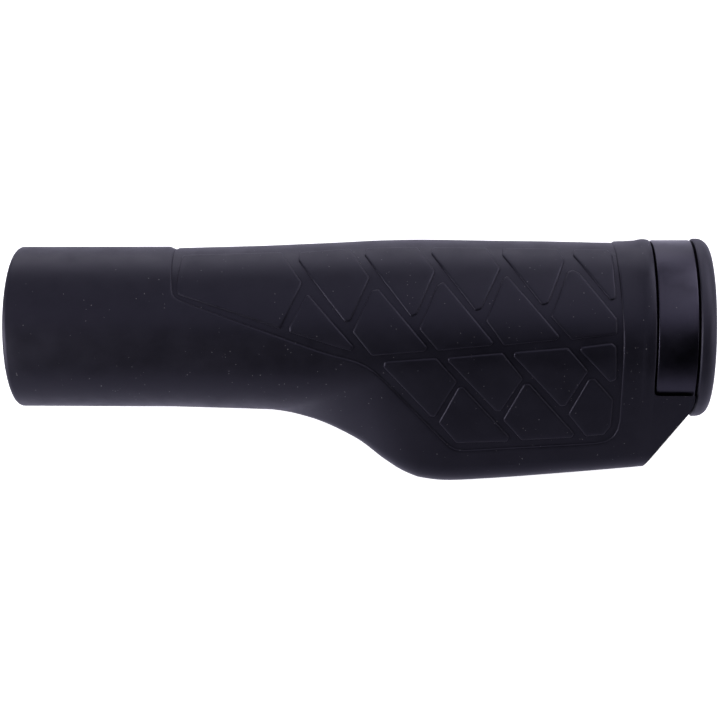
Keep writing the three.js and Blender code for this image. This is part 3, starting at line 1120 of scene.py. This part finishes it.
class Wire:
    """Short calls for building a node tree."""

    def __init__(self, tree: NodeTree) -> None:
        """Keeps the tree that nodes go into."""
        self.tree = tree

    @classmethod
    def emptied(cls, owner: ID) -> "Wire":
        """Empties the node tree of a material or world and keeps it.

        Args:
            owner: the material or world.

        Returns:
            A wire for its tree.
        """
        owner.use_nodes = True
        owner.node_tree.nodes.clear()
        return cls(owner.node_tree)

    def node(self, kind: str, inputs: dict | None = None, **settings: object) -> Node:
        """Adds a node, with its settings and its inputs' values or links.

        Args:
            kind: the node's type name.
            inputs: socket names or numbers, each with a value or the socket to link.
            settings: attributes of the node.

        Returns:
            The node.
        """
        made = self.tree.nodes.new(kind)
        for name, value in settings.items():
            setattr(made, name, value)
        for name, value in (inputs or {}).items():
            if isinstance(value, NodeSocket):
                self.tree.links.new(value, made.inputs[name])
            else:
                made.inputs[name].default_value = value
        return made

    def ramp(self, value: NodeSocket, limits: Sequence[float],
             smooth: bool = False) -> NodeSocket:
        """Maps a range of one value to another, held at its ends.

        Args:
            value: the socket to read.
            limits: the range's two ends, and what they become.
            smooth: whether the ramp eases in and out.

        Returns:
            The result's socket.
        """
        names = ("From Min", "From Max", "To Min", "To Max")
        made = self.node("ShaderNodeMapRange", {"Value": value, **dict(zip(names, limits))},
                         interpolation_type="SMOOTHSTEP" if smooth else "LINEAR")
        return made.outputs["Result"]

    def compute(self, operation: str, *values: object) -> NodeSocket:
        """Adds a math node and returns its result's socket."""
        return self.node("ShaderNodeMath", dict(enumerate(values)), operation=operation).outputs["Value"]

    def vector(self, operation: str, *values: object) -> Node:
        """Adds a node that works on vectors."""
        return self.node("ShaderNodeVectorMath", dict(enumerate(values)), operation=operation)

    def noise(self, place: NodeSocket, scale: float | NodeSocket, **more: float) -> Node:
        """Adds a noise texture at a place."""
        return self.node("ShaderNodeTexNoise", {"Vector": place, "Scale": scale, **more})

    def shine(self, kind: str, color: Sequence[float], strength: float | NodeSocket) -> NodeSocket:
        """Adds an emission or background of a colour and strength."""
        return self.node(kind, {"Color": (*color, 1), "Strength": strength}).outputs[0]

    def either(self, share: NodeSocket, first: NodeSocket, second: NodeSocket) -> NodeSocket:
        """Mixes two shaders, the second by the given share."""
        return self.node("ShaderNodeMixShader", {0: share, 1: first, 2: second}).outputs[0]

    def seen(self, path: Node) -> NodeSocket:
        """One for rays from the camera, straight or through glass, and none for others."""
        return self.compute("MAXIMUM", path.outputs["Is Camera Ray"], path.outputs["Is Transmission Ray"])


class SurfaceGroups:
    """Shader node groups that several finishes share."""

    fine_noise = {"Detail": 3.0, "Roughness": 0.6}
    slow_noise = {"Detail": 4.0, "Roughness": 0.65}
    drift_scale = 110.0
    drift_noise = {"Detail": 3.0}
    drift_limits = (0.42, 0.68, 0.1, 2.0)
    wobble_scale = 4000.0
    wobble_size = 0.0004

    def __init__(self) -> None:
        """Builds each group once."""
        self.grain = self._grain()
        self.specks = self._specks()

    @staticmethod
    def _new(name: str, inputs: dict[str, float], outputs: dict[str, str]) -> NodeTree:
        """Makes an empty group with named sockets.

        Args:
            name: the group's name.
            inputs: names and starting values of its number inputs.
            outputs: names and socket types of its outputs.

        Returns:
            The group.
        """
        tree = bpy.data.node_groups.new(name, "ShaderNodeTree")
        for key, value in inputs.items():
            socket = tree.interface.new_socket(key, in_out="INPUT", socket_type="NodeSocketFloat")
            socket.default_value = value
        for key, kind in outputs.items():
            tree.interface.new_socket(key, in_out="OUTPUT", socket_type=kind)
        return tree

    def _grain(self) -> NodeTree:
        """Fine moulded or blasted grain: a height, and a slow mottle for roughness and colour.

        Returns:
            The group.
        """
        tree = self._new("moulded_grain", {"Scale": 9000.0, "Mottle Scale": 180.0},
                         {"Height": "NodeSocketFloat", "Mottle": "NodeSocketFloat"})
        wire = Wire(tree)
        given = wire.node("NodeGroupInput")
        place = wire.node("ShaderNodeTexCoord").outputs["Object"]
        fine = wire.noise(place, given.outputs["Scale"], **self.fine_noise)
        slow = wire.noise(place, given.outputs["Mottle Scale"], **self.slow_noise)
        wire.node("NodeGroupOutput", {"Height": fine.outputs["Fac"], "Mottle": slow.outputs["Fac"]})
        return tree

    def _specks(self) -> NodeTree:
        """Tiny specks of dust in loose clusters, as a mask.

        Returns:
            The group.
        """
        tree = self._new("dust_specks", {"Scale": 2000.0, "Size": 0.18, "Share": 0.05},
                         {"Mask": "NodeSocketFloat"})
        wire = Wire(tree)
        given = wire.node("NodeGroupInput")
        place = wire.node("ShaderNodeTexCoord").outputs["Object"]
        wobble = wire.noise(place, self.wobble_scale)
        moved = wire.vector("MULTIPLY", wobble.outputs["Color"], (self.wobble_size,) * 3)
        spot = wire.vector("ADD", place, moved.outputs["Vector"])
        cells = wire.node("ShaderNodeTexVoronoi", {"Vector": spot.outputs["Vector"],
                                                   "Scale": given.outputs["Scale"]})
        near = wire.compute("LESS_THAN", cells.outputs["Distance"], given.outputs["Size"])
        pick = wire.node("ShaderNodeSeparateColor", {"Color": cells.outputs["Color"]})
        drift = wire.noise(place, self.drift_scale, **self.drift_noise)
        clusters = wire.ramp(drift.outputs["Fac"], self.drift_limits)
        chance = wire.compute("MULTIPLY", given.outputs["Share"], clusters)
        few = wire.compute("LESS_THAN", pick.outputs["Red"], chance)
        wire.node("NodeGroupOutput", {"Mask": wire.compute("MULTIPLY", near, few)})
        return tree


@dataclass(frozen=True)
class Finish:
    """A surface finish with fine grain, mottle and a little dust."""

    name: str
    color: tuple[float, float, float]
    roughness: float
    metallic: float = 0.0
    specular: float = 0.5
    specular_tint: tuple[float, float, float] = (1.0, 1.0, 1.0)
    grain_scale: float = 9000.0
    grain_height: float = 0.00002
    grain_strength: float = 0.3
    mottle: float = 0.06
    mottle_span: tuple[float, float] = (0.3, 0.7)
    dust: float = 0.01
    dust_color: tuple[float, float, float] = (0.09, 0.087, 0.09)

    def material(self, groups: SurfaceGroups) -> Material:
        """Builds the material.

        Args:
            groups: the shared node groups.

        Returns:
            The material.
        """
        made = bpy.data.materials.new(self.name)
        wire = Wire.emptied(made)
        grain = wire.node("ShaderNodeGroup", node_tree=groups.grain)
        grain.inputs["Scale"].default_value = self.grain_scale
        specks = wire.node("ShaderNodeGroup", node_tree=groups.specks)
        specks.inputs["Share"].default_value = self.dust
        mottle, change = grain.outputs["Mottle"], self.mottle
        shift = wire.ramp(mottle, (*self.mottle_span, 1 - 2 * change, 1 + 2 * change))
        tone = wire.vector("MULTIPLY", self.color, shift)
        mix = wire.node("ShaderNodeMix", {0: specks.outputs["Mask"], 6: tone.outputs["Vector"],
                                          7: (*self.dust_color, 1)}, data_type="RGBA")
        rough = wire.ramp(mottle, (*self.mottle_span, self.roughness - change, self.roughness + change))
        bump = wire.node("ShaderNodeBump", {"Height": grain.outputs["Height"],
                                            "Strength": self.grain_strength,
                                            "Distance": self.grain_height})
        shader = wire.node("ShaderNodeBsdfPrincipled", {
            "Base Color": mix.outputs[2], "Roughness": rough,
            "Metallic": self.metallic, "Specular IOR Level": self.specular,
            "Specular Tint": (*self.specular_tint, 1), "Normal": bump.outputs["Normal"]})
        wire.node("ShaderNodeOutputMaterial", {"Surface": shader.outputs["BSDF"]})
        return made


RUBBER = Finish("satin_rubber", (0.0062, 0.006, 0.0086), 0.44, specular=0.2,
                specular_tint=(0.82, 0.79, 1.0), dust=0.05)
LINER = Finish("liner_plastic", (0.012, 0.012, 0.014), 0.55, specular=0.3, grain_scale=5000.0)
ANODISED = Finish("black_anodised", (0.028, 0.0265, 0.0345), 0.36, metallic=1.0, grain_scale=6500.0,
                  grain_height=0.00003, dust=0.002)
CAP = Finish("cap_plastic", (0.012, 0.0115, 0.016), 0.5, specular=0.24,
             specular_tint=(0.84, 0.81, 1.0), grain_scale=6000.0)
STEEL = Finish("blackened_steel", (0.06, 0.06, 0.065), 0.3, metallic=1.0, dust=0.0)


@dataclass(frozen=True)
class Softbox:
    """A rectangular soft lamp, placed by the angles at which the grip sees it."""

    name: str
    around: float
    along: float
    size: tuple[float, float]
    power: float
    distance: float = 480.0


@dataclass
class Studio:
    """Camera, lamps, pale floor and backdrop."""

    shape: RubberShape
    picture: tuple[int, int] = (720, 720)
    scale: float = 5.08
    distance: float = 346.0
    foot: tuple[float, float] = (85.7, 6.54)
    aim: tuple[float, float] = (67.6, 6.54)
    camera_roll: float = 0.0025
    sensor: float = 36.0
    floor_half: float = 6.0
    floor_drop: float = 0.0001
    middle: tuple[float, float] = (68.0, 5.0)
    tint: tuple[float, float, float] = (0.8, 0.77, 1.0)
    floor_seen: tuple[float, ...] = (0.2, 0.6, 0.9, 1.0)
    floor_mirrored: tuple[float, ...] = (-0.22, -0.06, 0.15, 1.12)
    floor_color: float = 0.8
    backdrop_lean: float = 0.45
    backdrop_rise: tuple[float, ...] = (0.5, 0.7, 0.02, 1.35)
    backdrop_fall: tuple[float, ...] = (0.82, 1.0, 1.0, 0.5)
    ambient: float = 0.02
    lamp_tint: tuple[float, float, float] = (0.92, 0.9, 1.0)
    softboxes: tuple[Softbox, ...] = (
        Softbox("back_strip", 195, -8, (0.5, 0.3), 0.86),
        Softbox("back_right", 155, 42, (0.4, 0.3), 1.5),
        Softbox("back_high", 128, 10, (0.4, 0.3), 0.42),
        Softbox("high_left", 75, -66, (0.2, 0.15), 0.34, 270.0),
        Softbox("front_left", 52, -64, (0.2, 0.15), 0.78, 270.0),
        Softbox("right", 90, 74, (0.3, 0.2), 0.7),
    )

    def rest(self, x: float, w: float, z: float) -> Vector:
        """A level point in the rest pose, in metres."""
        return Vector(self.shape.to_rest(np.array([x, w, z])))

    def camera(self) -> None:
        """Looks down on the palm side, over the point where the view is square to the bar."""
        data = bpy.data.cameras.new("camera")
        data.sensor_width = self.sensor
        data.lens = self.sensor * self.scale * self.distance / self.picture[0]
        made = linked("camera", data)
        eye = self.rest(*self.foot, self.distance)
        look = (eye - self.rest(*self.aim, 0)).normalized()
        upward = self.rest(0, -1, 0)
        side = upward.cross(look).normalized()
        side = Matrix.Rotation(self.camera_roll, 3, look) @ side
        rows = Matrix((side, look.cross(side), look)).transposed()
        made.matrix_world = Matrix.Translation(eye) @ rows.to_4x4()
        bpy.context.scene.camera = made

    def lamp(self, box: Softbox) -> None:
        """Adds a softbox that faces the middle of the grip.

        Args:
            box: the softbox.
        """
        data = bpy.data.lights.new(box.name, "AREA")
        data.shape = "RECTANGLE"
        data.size, data.size_y = box.size
        data.energy = box.power
        data.color = self.lamp_tint
        made = linked(box.name, data)
        x, w = self.middle
        around, along = math.radians(box.around), math.radians(box.along)
        across = box.distance * math.cos(along)
        made.location = self.rest(x + box.distance * math.sin(along), w + across * math.cos(around),
                                  across * math.sin(around))
        aim = self.rest(x, w, 0) - made.location
        made.rotation_euler = aim.to_track_quat("-Z", "Y").to_euler()

    def floor(self) -> None:
        """A floor that is white to the camera, keeps the shadow, and dims to the front in reflections."""
        low = CAD_BOUNDS[0][2] - self.floor_drop
        half = self.floor_half
        corners = np.column_stack([rectangle(-half, -half, half, half), np.full(4, low)])
        made = mesh_object("floor", corners, [(0, 1, 2, 3)])
        material = bpy.data.materials.new("pale_floor")
        wire = Wire.emptied(material)
        path = wire.node("ShaderNodeLightPath")
        place = wire.node("ShaderNodeNewGeometry").outputs["Position"]
        away = wire.vector("LENGTH", place).outputs["Value"]
        forward = wire.node("ShaderNodeSeparateXYZ", {"Vector": place}).outputs["Y"]
        shadowed = wire.node("ShaderNodeBsdfDiffuse", {"Color": (*(self.floor_color,) * 3, 1)})
        glow = wire.shine("ShaderNodeEmission", (1, 1, 1), wire.ramp(away, self.floor_seen))
        both = wire.node("ShaderNodeAddShader", {0: shadowed.outputs[0], 1: glow})
        mirrored = wire.shine("ShaderNodeEmission", self.tint,
                              wire.ramp(forward, self.floor_mirrored, smooth=True))
        lit = wire.either(wire.seen(path), shadowed.outputs[0], both.outputs[0])
        mix = wire.either(path.outputs["Is Glossy Ray"], lit, mirrored)
        wire.node("ShaderNodeOutputMaterial", {"Surface": mix})
        made.data.materials.append(material)

    def world(self) -> None:
        """White to the camera; reflections see a pale backdrop that leans over the back."""
        world = bpy.data.worlds.new("studio")
        wire = Wire.emptied(world)
        path = wire.node("ShaderNodeLightPath")
        toward = wire.node("ShaderNodeTexCoord").outputs["Generated"]
        way = wire.node("ShaderNodeSeparateXYZ", {"Vector": toward})
        lean = wire.compute("MULTIPLY_ADD", way.outputs["Y"], self.backdrop_lean, way.outputs["Z"])
        backdrop = wire.compute("MULTIPLY", wire.ramp(lean, self.backdrop_rise, smooth=True),
                             wire.ramp(lean, self.backdrop_fall, smooth=True))
        strength = wire.node("ShaderNodeMix", {0: path.outputs["Is Glossy Ray"], 2: self.ambient,
                                               3: backdrop}, data_type="FLOAT")
        light = wire.shine("ShaderNodeBackground", self.tint, strength.outputs[0])
        white = wire.shine("ShaderNodeBackground", (1, 1, 1), 1.0)
        wire.node("ShaderNodeOutputWorld", {"Surface": wire.either(wire.seen(path), light, white)})
        bpy.context.scene.world = world

    def build(self) -> None:
        """Sets up the camera, floor, world and lamps."""
        self.camera()
        self.floor()
        self.world()
        for box in self.softboxes:
            self.lamp(box)
        scene = bpy.context.scene
        scene.view_settings.view_transform = "Standard"


def dress(made: Object, material: Material, slot: Slot, *nodes: str) -> None:
    """Gives a piece its material and body, and the solids that it stands for.

    Args:
        made: the piece.
        material: its finish.
        slot: the record's slot that the finish belongs to; not used.
        nodes: the solids that it replaces.
    """
    made.data.materials.clear()
    made.data.materials.append(material)
    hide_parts(*nodes)
    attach(made, Body.ROOT.value)
    LOG.info("%s: %d faces, stands for %s", made.name, len(made.data.polygons), ", ".join(nodes))


def main() -> None:
    """Builds the studio and each piece of the grip in turn."""
    logging.basicConfig(level=logging.INFO)
    shape = RubberShape()
    Studio(shape).build()
    groups = SurfaceGroups()
    maker = SolidMaker(shape)
    clamp = ClampSet(maker)
    palm = PalmField(shape)
    dress(RubberBody(shape, maker, palm).build(), RUBBER.material(groups), Slot.RUBBER, "rubber_grip")
    dress(CoreSleeve(maker).build(), LINER.material(groups), Slot.LINER, "core_sleeve")
    dress(clamp.ring(), ANODISED.material(groups), Slot.ANODISED, "clamp_ring")
    dress(clamp.bolt(), STEEL.material(groups), Slot.BOLT, "clamp_bolt")
    dress(EndCap(maker).build(), CAP.material(groups), Slot.CAP, "end_cap")


if __name__ == "__main__":
    main()
